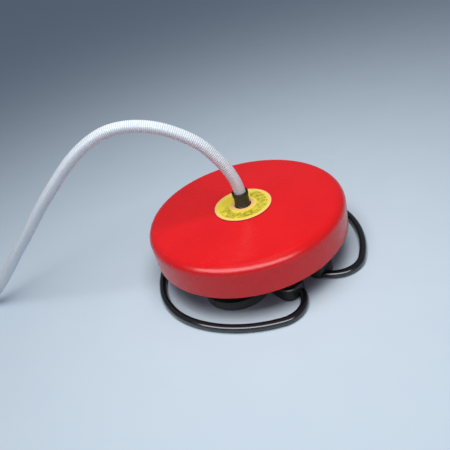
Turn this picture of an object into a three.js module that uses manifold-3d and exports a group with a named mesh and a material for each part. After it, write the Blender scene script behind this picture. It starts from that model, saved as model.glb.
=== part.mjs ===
// Foot air pump: a round treadle cover over a rubber bellows, on a bent-bar stand.
// Millimetres, +Z up. The origin is on the floor, on the axis of the cover and bellows,
// and -Y is the front, where the two ends of the stand bar turn in.

import * as THREE from 'three';
import { mergeVertices } from 'three/addons/utils/BufferGeometryUtils.js';
import Module from 'manifold-3d';

const wasm = await Module();
wasm.setup();

// ---- Driving dimensions ----------------------------------------------------------------

const GAP = 0.3; // left between pieces that touch

const COVER_R = 135;
const COVER_RIM_Z = 38.5;
const COVER_SHOULDER_Z = 84.4;
const COVER_DOME = 0.5;
const COVER_FILLET = 13;
const COVER_WALL = 3.5;
const COVER_DRAFT = 0.5;
const CEILING_Z = 79;

const PLATE_UNDER_Z = 11; // clear above the stand bar
const PLATE_TOP_Z = 14.5;
const PLATE_R = 95;

const BAR_R = 5;
const BAR_REACH = 137.9; // from the axis to the bar's centreline, at the rear and at the front
const BAR_ARCS = [ // [centreline radius, degrees] from the middle of the rear to a turned-in end
  [90.9, 20],
  [191.8, 41.4],
  [114.8, 48.2],
  [158.5, 40],
  [35.3, 120.4],
];
const BAR_END_Y = -89;

const CLAMP_SCREW_CIRCLE_R = 71.5;
const CLAMP_SCREW_COUNT = 4;
const CLAMP_SCREW_HOLE_R = 2.1;
const BELLOWS_SKIN = 1.8;
const BELLOWS_FLANGE_IN_R = 77;
const BELLOWS_FLANGE_OUT_R = 86;
const BELLOWS_OUT_R = 91;
const BELLOWS_IN_R = 80;
const BELLOWS_FOLDS = 4;

const HOSE_R = 8;
const HOSE_HEADING = THREE.MathUtils.degToRad(142);
const HOSE_FLOOR_Z = HOSE_R + 0.5;
const COIL_TURNS = 1.2;
const COIL_OUT_R = 104; // centreline radius of the outer turn
const COIL_PITCH = 2 * HOSE_R + 0.4;
const COIL_TANGENT_AT = 497; // where the floor run touches the outer turn
const TAIL_BEND_R = 64;
const CORD_SIDES = 10;

// ---- Materials -------------------------------------------------------------------------

const material = (color, roughness, metalness) =>
  new THREE.MeshStandardMaterial({ color, roughness, metalness });

const RED_PLASTIC = material(0xd3201f, 0.22, 0);
const YELLOW_LABEL = material(0xe9d63e, 0.4, 0);
const BLACK_PLASTIC = material(0x161618, 0.5, 0);
const BLACK_PAINT = material(0x0d0e11, 0.18, 0.3);
const BLACK_RUBBER = material(0x1b1b1c, 0.8, 0);
const GREY_HOSE = material(0xb9c6d2, 0.45, 0);
const ZINC_STEEL = material(0xaeb1b3, 0.35, 0.9);

const root = new THREE.Group();

function add(name, geometry, surface, parent = root) {
  const mesh = new THREE.Mesh(geometry, surface);
  mesh.name = name;
  parent.add(mesh);
  return mesh;
}

// ---- Geometry helpers ------------------------------------------------------------------

function signedVolume(position, index) {
  const [a, b, c] = [new THREE.Vector3(), new THREE.Vector3(), new THREE.Vector3()];
  let total = 0;
  for (let i = 0; i < index.length; i += 3) {
    a.fromBufferAttribute(position, index[i]);
    b.fromBufferAttribute(position, index[i + 1]);
    c.fromBufferAttribute(position, index[i + 2]);
    total += a.dot(b.cross(c)) / 6;
  }
  return total;
}

// Shared vertices merged, empty triangles dropped and every face turned outwards.
function closed(source) {
  const geometry = source.clone();
  for (const name of Object.keys(geometry.attributes)) {
    if (name !== 'position') geometry.deleteAttribute(name);
  }
  const merged = mergeVertices(geometry, 1e-4);
  const old = merged.index.array;
  const index = [];
  for (let i = 0; i < old.length; i += 3) {
    const [a, b, c] = [old[i], old[i + 1], old[i + 2]];
    if (a !== b && b !== c && c !== a) index.push(a, b, c);
  }
  if (signedVolume(merged.attributes.position, index) < 0) index.reverse();
  merged.setIndex(index);
  merged.computeVertexNormals();
  return merged;
}

function toManifold(geometry) {
  const solid = closed(geometry);
  const vertProperties = new Float32Array(solid.attributes.position.array);
  const triVerts = new Uint32Array(solid.index.array);
  return new wasm.Manifold(new wasm.Mesh({ numProp: 3, vertProperties, triVerts }));
}

function fromManifold(solid) {
  const mesh = solid.getMesh();
  const geometry = new THREE.BufferGeometry();
  geometry.setAttribute('position', new THREE.BufferAttribute(new Float32Array(mesh.vertProperties), 3));
  geometry.setIndex([...mesh.triVerts]);
  return closed(geometry);
}

function join(...geometries) {
  return fromManifold(geometries.map(toManifold).reduce((whole, next) => whole.add(next)));
}

function cut(geometry, ...tools) {
  return fromManifold(tools.map(toManifold).reduce((rest, tool) => rest.subtract(tool), toManifold(geometry)));
}

// A turned piece about Z. The profile is [radius, z] pairs and closes on itself or on the axis.
function turned(profile, segments = 40) {
  const onAxis = profile[0][0] === 0 && profile.at(-1)[0] === 0;
  const outline = onAxis ? profile : [...profile, profile[0]];
  const points = outline.map(([radius, z]) => new THREE.Vector2(radius, z));
  return closed(new THREE.LatheGeometry(points, segments).rotateX(Math.PI / 2));
}

function cylinder(radius, z0, z1, x = 0, y = 0, segments = 24) {
  const geometry = new THREE.CylinderGeometry(radius, radius, z1 - z0, segments);
  return geometry.rotateX(Math.PI / 2).translate(x, y, (z0 + z1) / 2);
}

function ring(innerR, outerR, z0, z1, segments = 40) {
  return turned([[innerR, z0], [outerR, z0], [outerR, z1], [innerR, z1]], segments);
}

function box(x0, x1, y0, y1, z0, z1) {
  const geometry = new THREE.BoxGeometry(x1 - x0, y1 - y0, z1 - z0);
  return geometry.translate((x0 + x1) / 2, (y0 + y1) / 2, (z0 + z1) / 2);
}

// A round section swept along a curve.
function swept(curve, radius, steps, sides) {
  const section = new THREE.Shape();
  for (let i = 0; i < sides; i++) {
    const angle = (2 * Math.PI * i) / sides;
    const place = [radius * Math.cos(angle), radius * Math.sin(angle)];
    if (i === 0) section.moveTo(...place);
    else section.lineTo(...place);
  }
  return closed(new THREE.ExtrudeGeometry(section, { steps, extrudePath: curve, bevelEnabled: false }));
}

const around = (radius, angle) => [radius * Math.cos(angle), radius * Math.sin(angle)];
const circleOf = (count, start = 0) =>
  Array.from({ length: count }, (_, i) => start + (2 * Math.PI * i) / count);
const SIDES = [['left', -1], ['right', 1]];

// A pan-head screw on the Z axis with its head at the origin; facing is 1 for head up.
function screw(headR, headH, shankR, shankLength) {
  return turned([
    [0, -shankLength],
    [shankR, -shankLength],
    [shankR, 0],
    [headR, 0],
    [headR, headH * 0.5],
    [headR * 0.72, headH],
    [0, headH],
  ], 8);
}

function addScrew(name, geometry, x, y, z, headUp) {
  const mesh = add(name, geometry, ZINC_STEEL);
  mesh.position.set(x, y, z);
  if (!headUp) mesh.rotation.x = Math.PI;
}

// ---- Stand bar -------------------------------------------------------------------------

// The bar's plan is mirrored about the YZ plane. Each half is a chain of arcs that touch,
// and ends in a short straight piece.
function halfBar(points) {
  const plan = new THREE.Path();
  plan.moveTo(0, BAR_REACH);
  let tangent = Math.PI;
  for (const [radius, degrees] of BAR_ARCS) {
    const { x, y } = plan.currentPoint;
    const centre = [x - radius * Math.sin(tangent), y + radius * Math.cos(tangent)];
    const turnedTo = tangent + THREE.MathUtils.degToRad(degrees);
    plan.absarc(...centre, radius, tangent - Math.PI / 2, turnedTo - Math.PI / 2, false);
    tangent = turnedTo;
  }
  plan.lineTo(plan.currentPoint.x, BAR_END_Y);
  return plan.getSpacedPoints(points);
}

const BAR_STEPS = 84;
const leftHalf = halfBar(BAR_STEPS / 2).map((p) => new THREE.Vector3(p.x, p.y, BAR_R));
const rightHalf = leftHalf.slice(1).map((p) => new THREE.Vector3(-p.x, p.y, p.z));
const barLine = new THREE.CatmullRomCurve3([...rightHalf.reverse(), ...leftHalf]);
add('stand_bar', swept(barLine, BAR_R, BAR_STEPS, 8), BLACK_PAINT);

// The bar with clearance all round, to cut the channels that it lies in.
const barRoom = swept(barLine, BAR_R + GAP, BAR_STEPS, 8);

// ---- Base plate, front clamps, rear clips and feet -------------------------------------

const LUG = { x0: 10, x1: 43.5, y0: -115.5, innerCorner: 12, outerCorner: 13 };
const LUG_REAR_Y = -78;
const CLAMP_REAR_Y = -80;
const LUG_UNDER_Z = 13.3; // clear above the front clamp, which is taller than the feet
const LUG_TOP_Z = 18;
const LUG_EDGE_R = 3;
const LUG_SCREW = { x: 33, y: -104.5, headZ: 3.7, length: 11.6 };
const LUG_SCREW_HOLE_TOP_Z = 15.8;
const CLAMP_UNDER_Z = 0.8;
const CLIP_WALL = 3.3;
const CLIP_TONGUE = 3.6;
const CLIP_UNDER_Z = 0.9;
const STAND_SCREW = { headR: 4, headH: 2.6, shankR: 2, holeR: 2.3, recessR: 4.6 };
const EAR = { x: 62, y: -36, r: 45.5 };
const SIDE_FOOT_R = 45;
const REAR_FOOT_R = 15;
const FOOT_RECESS = { r: 5, z: 7 };
const ARM_ANGLE = THREE.MathUtils.degToRad(35); // each side of +Y
const ARM_WIDTH = 26;
const ARM_END = 124;
const CLIP_SCREW_AT = 110;
const CLIP_SCREW_LENGTH = 9.5;
const FOOT_SCREW_LENGTH = 7.4;
const REAR_FOOT_AT = 76;
const INTAKE_HOLE_R = 3.5;
const INTAKE_CIRCLE_R = 13;
const STEM_R = 2.2;

// Placed at a distance from the axis along the left (-1) or right (1) rear arm.
function alongArm(side, geometry) {
  return geometry.clone().rotateZ(Math.PI / 2 - side * ARM_ANGLE);
}

// A screw up into the base plate from beneath, with its head at the origin.
function standScrew(length) {
  const { headR, headH, shankR } = STAND_SCREW;
  return screw(headR, headH, shankR, length);
}

function lugShape(side, rearY) {
  const { x0, x1, y0, innerCorner, outerCorner } = LUG;
  const shape = new THREE.Shape();
  shape.absarc(x0 + innerCorner, y0 + innerCorner, innerCorner, Math.PI, 1.5 * Math.PI, false);
  shape.absarc(x1 - outerCorner, y0 + outerCorner, outerCorner, -Math.PI / 2, 0, false);
  shape.lineTo(x1, rearY);
  shape.lineTo(x0, rearY);
  return new THREE.Shape(shape.getPoints(5).map((p) => new THREE.Vector2(side * p.x, p.y)));
}

// The part of the base plate over a front clamp: a pad with a rounded top edge, kept clear of
// the bellows.
function lugPad(side) {
  const depth = LUG_TOP_Z - LUG_EDGE_R - PLATE_UNDER_Z;
  const pad = new THREE.ExtrudeGeometry(lugShape(side, LUG_REAR_Y), {
    depth,
    bevelThickness: LUG_EDGE_R,
    bevelSize: LUG_EDGE_R,
    bevelOffset: -LUG_EDGE_R,
    bevelSegments: 3,
  });
  const below = box(-60, 60, -130, -60, 0, LUG_UNDER_Z);
  const bellowsRoom = cylinder(BELLOWS_OUT_R + 1.3, PLATE_TOP_Z, LUG_TOP_Z + 1, 0, 0, 48);
  return cut(pad.translate(0, 0, PLATE_UNDER_Z), below, bellowsRoom);
}

function addBasePlate() {
  const halfArm = ARM_WIDTH / 2;
  const arm = (side) => alongArm(side, box(80, ARM_END, -halfArm, halfArm, PLATE_UNDER_Z, PLATE_TOP_Z));
  const blank = join(
    cylinder(PLATE_R, PLATE_UNDER_Z, PLATE_TOP_Z, 0, 0, 48),
    ring(PLATE_R - 2.4, PLATE_R, PLATE_UNDER_Z, PLATE_TOP_Z + 3, 48),
    ring(53, 55, PLATE_UNDER_Z, PLATE_TOP_Z + 4, 36),
    ...SIDES.map(([, side]) => cylinder(EAR.r, PLATE_UNDER_Z, PLATE_TOP_Z, side * EAR.x, EAR.y, 32)),
    ...SIDES.map(([, side]) => lugPad(side)),
    ...SIDES.map(([, side]) => arm(side)),
  );
  const hole = (radius, x, y) => cylinder(radius, PLATE_UNDER_Z - 1, PLATE_TOP_Z + 5, x, y, 8);
  const holes = [
    hole(STEM_R + GAP, 0, 0),
    ...circleOf(6).map((angle) => hole(INTAKE_HOLE_R, ...around(INTAKE_CIRCLE_R, angle))),
    ...circleOf(CLAMP_SCREW_COUNT, Math.PI / 4).map((angle) =>
      hole(CLAMP_SCREW_HOLE_R, ...around(CLAMP_SCREW_CIRCLE_R, angle))),
    ...SIDES.map(([, side]) =>
      cylinder(STAND_SCREW.holeR, PLATE_UNDER_Z, LUG_SCREW_HOLE_TOP_Z, side * LUG_SCREW.x, LUG_SCREW.y, 8)),
    ...SIDES.map(([, side]) => hole(STAND_SCREW.holeR, side * EAR.x, EAR.y)),
    ...SIDES.map(([, side]) => alongArm(side, hole(STAND_SCREW.holeR, CLIP_SCREW_AT, 0))),
    ...SIDES.map(([, side]) => alongArm(side, hole(STAND_SCREW.holeR, REAR_FOOT_AT, 0))),
  ];
  add('base_plate', cut(blank, ...holes), BLACK_PLASTIC);
}

// A block under the base plate and each front lug, closed round the end of the stand bar. Its
// screw goes up into the lug from a recess in its underside.
function addFrontClamps() {
  const { x: screwX, y, headZ, length } = LUG_SCREW;
  const pan = standScrew(length);
  const [z0, z1] = [CLAMP_UNDER_Z, LUG_UNDER_Z - GAP];
  const plateRoom = join(
    cylinder(PLATE_R + GAP, PLATE_UNDER_Z - GAP, LUG_TOP_Z, 0, 0, 48),
    box(-60, 60, -PLATE_R - 1, 0, PLATE_UNDER_Z - GAP, LUG_TOP_Z),
  );
  for (const [name, side] of SIDES) {
    const shape = lugShape(side, CLAMP_REAR_Y);
    const block = new THREE.ExtrudeGeometry(shape, { depth: z1 - z0, bevelEnabled: false }).translate(0, 0, z0);
    const barEnd = new THREE.CylinderGeometry(BAR_R + GAP, BAR_R + GAP, 4, 16);
    barEnd.translate(side * Math.abs(leftHalf.at(-1).x), BAR_END_Y - 1, BAR_R);
    const x = side * screwX;
    const screwHole = cylinder(STAND_SCREW.holeR, 0, 20, x, y, 8);
    const recess = cylinder(STAND_SCREW.recessR, 0, headZ + GAP, x, y, 12);
    add(`front_clamp_${name}`, cut(block, plateRoom, barRoom, barEnd, screwHole, recess), BLACK_PLASTIC);
    addScrew(`front_clamp_screw_${name}`, pan, x, y, headZ, false);
  }
}

// How far the bar's centreline is from the axis, at an angle each side of +Y.
function barDistance(angle) {
  const headingOf = (p) => Math.atan2(-p.x, p.y);
  const i = leftHalf.findIndex((p) => headingOf(p) > angle);
  const [before, after] = [leftHalf[i - 1], leftHalf[i]];
  const share = (angle - headingOf(before)) / (headingOf(after) - headingOf(before));
  return THREE.MathUtils.lerp(before.length(), after.length(), share);
}

// A clip that wraps over the bar behind each rear arm, with a tongue screwed under the arm.
function addRearClips() {
  const clipR = BAR_R + CLIP_WALL;
  const tongueTop = PLATE_UNDER_Z - GAP;
  const barAt = barDistance(ARM_ANGLE);
  const tongueUnder = tongueTop - CLIP_TONGUE;
  const pan = standScrew(CLIP_SCREW_LENGTH);
  for (const [name, side] of SIDES) {
    const heading = Math.PI / 2 - side * ARM_ANGLE;
    const sleeve = new THREE.CylinderGeometry(clipR, clipR, ARM_WIDTH - 2, 20).translate(barAt, 0, 0);
    const blank = join(
      sleeve.translate(0, 0, BAR_R),
      box(100, barAt - 3, -ARM_WIDTH / 2 + 1, ARM_WIDTH / 2 - 1, tongueUnder, tongueTop),
    );
    const placed = alongArm(side, cut(blank, box(90, 160, -30, 30, -9, CLIP_UNDER_Z)));
    const screwHole = alongArm(side, cylinder(STAND_SCREW.holeR, 0, 20, CLIP_SCREW_AT, 0, 8));
    const armRoom = alongArm(side, box(90, ARM_END + GAP, -30, 30, tongueTop, 20));
    add(`rear_clip_${name}`, cut(placed, barRoom, screwHole, armRoom), BLACK_PLASTIC);
    const [x, y] = around(CLIP_SCREW_AT, heading);
    addScrew(`rear_clip_screw_${name}`, pan, x, y, tongueUnder - GAP, false);
  }
}

// Rubber feet with a screw up through a recess into the base plate.
function addFeet() {
  const top = PLATE_UNDER_Z - GAP;
  const foot = (radius) => turned([
    [FOOT_RECESS.r, 0],
    [radius - 1.2, 0],
    [radius - 0.3, 1.2],
    [radius, top],
    [STAND_SCREW.holeR + 0.1, top],
    [STAND_SCREW.holeR + 0.1, FOOT_RECESS.z],
    [FOOT_RECESS.r, FOOT_RECESS.z],
  ], 32);
  const pan = standScrew(FOOT_SCREW_LENGTH);
  const headZ = FOOT_RECESS.z - GAP;
  for (const [name, side] of SIDES) {
    const rear = around(REAR_FOOT_AT, Math.PI / 2 - side * ARM_ANGLE);
    add(`side_foot_${name}`, foot(SIDE_FOOT_R), BLACK_RUBBER).position.set(side * EAR.x, EAR.y, 0);
    add(`rear_foot_${name}`, foot(REAR_FOOT_R), BLACK_RUBBER).position.set(...rear, 0);
    addScrew(`side_foot_screw_${name}`, pan, side * EAR.x, EAR.y, headZ, false);
    addScrew(`rear_foot_screw_${name}`, pan, ...rear, headZ, false);
  }
}

// ---- Intake valve ----------------------------------------------------------------------

const FLAP_LIFT_TOP_Z = 18.7;

function addIntakeValve() {
  const grilleTop = PLATE_UNDER_Z - GAP;
  const grille = ring(STEM_R + GAP, 22, grilleTop - 2.9, grilleTop, 24);
  const holes = circleOf(6).map((angle) =>
    cylinder(INTAKE_HOLE_R - 0.5, 5, 12, ...around(INTAKE_CIRCLE_R, angle), 8));
  add('intake_grille', cut(grille, ...holes), BLACK_PLASTIC);
  add('intake_flap', turned([
    [STEM_R + 0.5, PLATE_TOP_Z + GAP],
    [20, PLATE_TOP_Z + GAP],
    [20, PLATE_TOP_Z + GAP + 0.8],
    [7, PLATE_TOP_Z + GAP + 1.6],
    [STEM_R + 0.5, PLATE_TOP_Z + GAP + 1.6],
  ], 24), BLACK_RUBBER);
  const flangeTop = grilleTop - 2.9 - GAP;
  add('intake_stem', turned([
    [0, flangeTop - 1.5],
    [6, flangeTop - 1.5],
    [6, flangeTop],
    [STEM_R, flangeTop],
    [STEM_R, FLAP_LIFT_TOP_Z],
    [8, FLAP_LIFT_TOP_Z],
    [7, FLAP_LIFT_TOP_Z + 1.6],
    [0, FLAP_LIFT_TOP_Z + 2],
  ], 16), BLACK_PLASTIC);
}

// ---- Bellows, clamp rings and return spring --------------------------------------------

const SPRING_WIRE_R = 1.7;
const SPRING_TURNS = 5;
const SPRING_FOOT_R = 50;
const SPRING_HEAD_R = 36;
const CUP_UNDER_Z = 75.4;

const BELLOWS_FOOT_Z = PLATE_TOP_Z + GAP;
const BELLOWS_HEAD_Z = CEILING_Z - 5 - GAP;
const RING_THICKNESS = 3;
const BELLOWS_SEGMENTS = 32; // shared by the rings, so that their facets line up

// A folded line, thickened to both sides along the mitres of its corners.
function skin(line, thickness) {
  const side = (sign) => line.map(([x, y], i) => {
    const [px, py] = line[Math.max(i - 1, 0)];
    const [nx, ny] = line[Math.min(i + 1, line.length - 1)];
    const before = new THREE.Vector2(x - px, y - py);
    const after = new THREE.Vector2(nx - x, ny - y);
    if (i === 0) before.copy(after);
    if (i === line.length - 1) after.copy(before);
    const mitre = before.normalize().add(after.normalize()).normalize();
    const reach = (sign * thickness) / 2 / Math.max(mitre.dot(after), 0.5);
    return [x - mitre.y * reach, y + mitre.x * reach];
  });
  return [...side(1), ...side(-1).reverse()];
}

function addBellows() {
  const half = BELLOWS_SKIN / 2;
  const wallR = BELLOWS_FLANGE_OUT_R + 1.3;
  const low = BELLOWS_FOOT_Z + half;
  const high = BELLOWS_HEAD_Z - half;
  const foldsFrom = low + RING_THICKNESS + 3.4;
  const foldsTo = high - RING_THICKNESS - 3.4;
  const pitch = (foldsTo - foldsFrom) / BELLOWS_FOLDS;
  const folds = [];
  for (let i = 0; i < BELLOWS_FOLDS; i++) {
    folds.push([BELLOWS_OUT_R - half, foldsFrom + pitch * (i + 0.5)]);
    if (i < BELLOWS_FOLDS - 1) folds.push([BELLOWS_IN_R + half, foldsFrom + pitch * (i + 1)]);
  }
  const line = [
    [BELLOWS_FLANGE_IN_R, low],
    [wallR - 1, low],
    [wallR, low + 1],
    [wallR, foldsFrom],
    ...folds,
    [wallR, foldsTo],
    [wallR, high - 1],
    [wallR - 1, high],
    [BELLOWS_FLANGE_IN_R, high],
  ];
  add('bellows', turned(skin(line, BELLOWS_SKIN), BELLOWS_SEGMENTS), BLACK_RUBBER);
}

// Each ring bears on its plate inside the bellows' flange and presses the flange outside it.
function addClampRings() {
  const [inner, step, outer] = [66, BELLOWS_FLANGE_IN_R - GAP, BELLOWS_FLANGE_OUT_R - 0.6];
  const pan = screw(3.5, 2.4, CLAMP_SCREW_HOLE_R - GAP, 8.5);
  const profile = (plateZ, away) => {
    const flangeZ = plateZ + away * (BELLOWS_SKIN + GAP);
    const farZ = flangeZ + away * RING_THICKNESS;
    return [[inner, plateZ], [step, plateZ], [step, flangeZ], [outer, flangeZ], [outer, farZ], [inner, farZ]];
  };
  const places = [
    ['lower', BELLOWS_FOOT_Z, 1],
    ['upper', BELLOWS_HEAD_Z, -1],
  ];
  for (const [name, plateZ, away] of places) {
    const holes = circleOf(CLAMP_SCREW_COUNT, Math.PI / 4).map((angle) =>
      cylinder(CLAMP_SCREW_HOLE_R, plateZ - 10, plateZ + 10, ...around(CLAMP_SCREW_CIRCLE_R, angle), 8));
    add(`bellows_ring_${name}`, cut(turned(profile(plateZ, away), BELLOWS_SEGMENTS), ...holes), BLACK_PLASTIC);
    const headZ = plateZ + away * (BELLOWS_SKIN + RING_THICKNESS + 2 * GAP);
    circleOf(CLAMP_SCREW_COUNT, Math.PI / 4).forEach((angle, i) => {
      const [x, y] = around(CLAMP_SCREW_CIRCLE_R, angle);
      addScrew(`ring_screw_${name}_${i + 1}`, pan, x, y, headZ, away > 0);
    });
  }
}

class ConicalCoil extends THREE.Curve {
  constructor(foot, head, turns) {
    super();
    Object.assign(this, { foot, head, turns });
  }

  getPoint(t, target = new THREE.Vector3()) {
    const angle = 2 * Math.PI * this.turns * t;
    const rise = THREE.MathUtils.clamp((t * this.turns - 0.6) / (this.turns - 1.2), 0, 1);
    const radius = THREE.MathUtils.lerp(this.foot.r, this.head.r, rise);
    const z = THREE.MathUtils.lerp(this.foot.z, this.head.z, rise);
    return target.set(radius * Math.cos(angle), radius * Math.sin(angle), z);
  }
}

function addReturnSpring() {
  const foot = { r: SPRING_FOOT_R, z: PLATE_TOP_Z + GAP + SPRING_WIRE_R };
  const head = { r: SPRING_HEAD_R, z: CUP_UNDER_Z - GAP - SPRING_WIRE_R };
  const coil = new ConicalCoil(foot, head, SPRING_TURNS);
  add('return_spring', swept(coil, SPRING_WIRE_R, 72, 6), ZINC_STEEL);
  add('spring_cup', turned([
    [9.4, CUP_UNDER_Z],
    [39.8, CUP_UNDER_Z],
    [39.8, CUP_UNDER_Z - 5],
    [41, CUP_UNDER_Z - 5],
    [41, CUP_UNDER_Z + 1.3],
    [9.4, CUP_UNDER_Z + 1.3],
  ], 28), ZINC_STEEL);
}

// ---- Cover and label -------------------------------------------------------------------

const COVER_TOP_Z = COVER_SHOULDER_Z + COVER_DOME;
const STEM_HOLE_R = 9.4;
const BOSS_Z = CEILING_Z - 5;

function addCover() {
  const edgeR = COVER_R - COVER_FILLET;
  const edgeZ = COVER_SHOULDER_Z - COVER_FILLET;
  const rimR = COVER_R - COVER_DRAFT;
  const dome = [0.45, 0.8].map((share) => [edgeR * share, COVER_TOP_Z - COVER_DOME * share ** 2]);
  const bend = (radius, from, to, steps) => Array.from({ length: steps + 1 }, (_, i) => {
    const [dx, dz] = around(radius, THREE.MathUtils.lerp(from, to, i / steps));
    return [edgeR + dx, edgeZ + dz];
  });
  const outerBend = bend(COVER_FILLET, Math.PI / 2, 0, 6);
  const innerBendR = COVER_FILLET - COVER_WALL;
  const innerBend = bend(innerBendR, 0, Math.asin((CEILING_Z - edgeZ) / innerBendR), 2);
  const shell = turned([
    [STEM_HOLE_R, COVER_TOP_Z],
    ...dome,
    ...outerBend,
    [rimR, COVER_RIM_Z + 0.8],
    [rimR - 0.8, COVER_RIM_Z],
    [rimR - COVER_WALL, COVER_RIM_Z],
    ...innerBend,
    [90, CEILING_Z],
    [90, BOSS_Z],
    [66, BOSS_Z],
    [66, CEILING_Z],
    [STEM_HOLE_R, CEILING_Z],
  ], 48);
  const holes = circleOf(CLAMP_SCREW_COUNT, Math.PI / 4).map((angle) =>
    cylinder(CLAMP_SCREW_HOLE_R, BOSS_Z - 1, CEILING_Z + 2, ...around(CLAMP_SCREW_CIRCLE_R, angle), 8));
  add('top_cover', cut(shell, ...holes), RED_PLASTIC);
}

const LABEL_IN_R = 11.4;
const LABEL_OUT_R = 39.7;

function addLabel() {
  const under = COVER_TOP_Z + GAP;
  add('label_disc', turned([
    [LABEL_IN_R, under],
    [LABEL_OUT_R, under],
    [LABEL_OUT_R, under + 0.5],
    [LABEL_OUT_R - 0.5, under + 0.8],
    [LABEL_IN_R, under + 0.8],
  ], 40), YELLOW_LABEL);
}

// ---- Hose connector and outlet valve ---------------------------------------------------

const CONNECTOR_R = 10.8;
const MOUTH_Z = 106;
const SOCKET_Z = 92; // the hose stops here inside the mouth
const OUTLET_STEP_Z = 80;
const CHAMBER_R = 7.2;
const STEM_END_Z = 62;

function addConnector() {
  const shoulder = COVER_TOP_Z + GAP;
  add('hose_connector', turned([
    [STEM_HOLE_R - 0.4, STEM_END_Z],
    [STEM_HOLE_R - 0.4, shoulder],
    [CONNECTOR_R, shoulder],
    [CONNECTOR_R, MOUTH_Z - 5],
    [CONNECTOR_R + 0.4, MOUTH_Z - 4],
    [CONNECTOR_R + 0.4, MOUTH_Z - 0.8],
    [CONNECTOR_R - 0.4, MOUTH_Z],
    [HOSE_R + 0.5, MOUTH_Z],
    [HOSE_R + 0.5, SOCKET_Z],
    [5, SOCKET_Z],
    [5, OUTLET_STEP_Z],
    [CHAMBER_R, OUTLET_STEP_Z],
    [CHAMBER_R, STEM_END_Z],
  ], 24), BLACK_PLASTIC);
  add('connector_gasket', ring(STEM_HOLE_R, 19, CUP_UNDER_Z + 1.6, CEILING_Z - GAP, 24), BLACK_RUBBER);
  const nut = new THREE.CylinderGeometry(17.3, 17.3, 6.7, 6).rotateX(Math.PI / 2);
  const bore = cylinder(STEM_HOLE_R, 60, 80, 0, 0, 24);
  add('connector_nut', cut(nut.translate(0, 0, CUP_UNDER_Z - GAP - 3.35), bore), BLACK_PLASTIC);
}

function addOutletValve() {
  const seatTop = STEM_END_Z + 3.2;
  const discTop = seatTop + GAP + 1.5;
  add('outlet_valve_seat', ring(3.5, CHAMBER_R - GAP, STEM_END_Z + 0.3, seatTop, 16), BLACK_PLASTIC);
  add('outlet_valve_disc', cylinder(5.8, seatTop + GAP, discTop, 0, 0, 16), BLACK_RUBBER);
  const wire = 0.45;
  const foot = { r: 5.2, z: discTop + GAP + wire };
  const head = { r: 5.9, z: OUTLET_STEP_Z - GAP - wire };
  add('outlet_valve_spring', swept(new ConicalCoil(foot, head, 4), wire, 44, 4), ZINC_STEEL);
}

// ---- Hose ------------------------------------------------------------------------------

// The hose lies in one upright plane from the connector to the floor: [distance from the
// axis, height] along its centreline.
const HOSE_ROUTE = [
  [0, 92.3], [0, 106], [2, 121], [9, 142.5], [19, 162], [34, 184], [56, 203], [81.5, 218],
  [112, 227], [143, 227], [172.5, 217], [202, 199.5], [235, 173], [269, 143], [303.5, 109.5],
  [337, 78], [366, 49.5], [388, 30], [408, 17], [424, 10.6], [436, 8.8],
];

const heading = (angle) => new THREE.Vector3(Math.cos(angle), Math.sin(angle), 0);
const coilStart = HOSE_HEADING - Math.PI / 2;
const coilEnd = coilStart + 2 * Math.PI * COIL_TURNS;
const coilEndR = COIL_OUT_R - COIL_PITCH * COIL_TURNS;
const coilCentre = heading(HOSE_HEADING).multiplyScalar(COIL_TANGENT_AT)
  .addScaledVector(heading(coilStart), -COIL_OUT_R)
  .setZ(HOSE_FLOOR_Z);
const tailCentre = coilCentre.clone().addScaledVector(heading(coilEnd), coilEndR - TAIL_BEND_R);

// A point on the bend that leads the hose's end in from the coil.
const tailPoint = (angle) => tailCentre.clone().addScaledVector(heading(coilEnd + angle), TAIL_BEND_R);
const TAIL_FROM = THREE.MathUtils.degToRad(90);
const TAIL_TO = THREE.MathUtils.degToRad(105);

function addHose() {
  const forward = heading(HOSE_HEADING);
  const route = HOSE_ROUTE.map(([away, z]) => forward.clone().multiplyScalar(away).setZ(z));
  const hose = new THREE.CatmullRomCurve3(route);
  add('hose_tube', swept(hose, HOSE_R, 30, CORD_SIDES), GREY_HOSE);

  const coil = ring(coilEndR - HOSE_R, COIL_OUT_R + HOSE_R + 0.4, 0.3, 2 * HOSE_R + 0.7, 36);
  add('hose_coil', coil, GREY_HOSE).position.set(coilCentre.x, coilCentre.y, 0);

  const bend = Array.from({ length: 5 }, (_, i) => tailPoint(THREE.MathUtils.lerp(TAIL_FROM, TAIL_TO, i / 4)));
  add('hose_tail', swept(new THREE.CatmullRomCurve3(bend), HOSE_R, 4, CORD_SIDES), GREY_HOSE);
}

function addNozzle() {
  const nozzle = turned([
    [6, 0],
    [HOSE_R + 0.4, 0],
    [HOSE_R + 0.4, 15],
    [HOSE_R - 0.6, 17],
    [6.6, 19],
    [4.6, 43],
    [4, 44],
    [2.6, 44],
    [2.6, 18],
    [6, 16],
  ], 16);
  const mesh = add('hose_nozzle', nozzle, BLACK_PLASTIC);
  const along = heading(coilEnd + TAIL_TO + Math.PI / 2);
  mesh.position.copy(tailPoint(TAIL_TO)).addScaledVector(along, GAP);
  mesh.quaternion.setFromUnitVectors(new THREE.Vector3(0, 0, 1), along);
}

addBasePlate();
addFrontClamps();
addRearClips();
addFeet();
addIntakeValve();
addBellows();
addClampRings();
addReturnSpring();
addCover();
addLabel();
addConnector();
addOutletValve();
addHose();
addNozzle();

export default root;
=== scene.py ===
"""A foot air pump: the looks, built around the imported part.

Metres, +Z up, in the part's own frame: the origin is on the floor, on the axis of the
cover and bellows, and -Y is the front. Sizes are written in millimetres and turned into
metres where a mesh is made.
"""

import math

import bpy
from mathutils import Matrix, Vector


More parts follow.
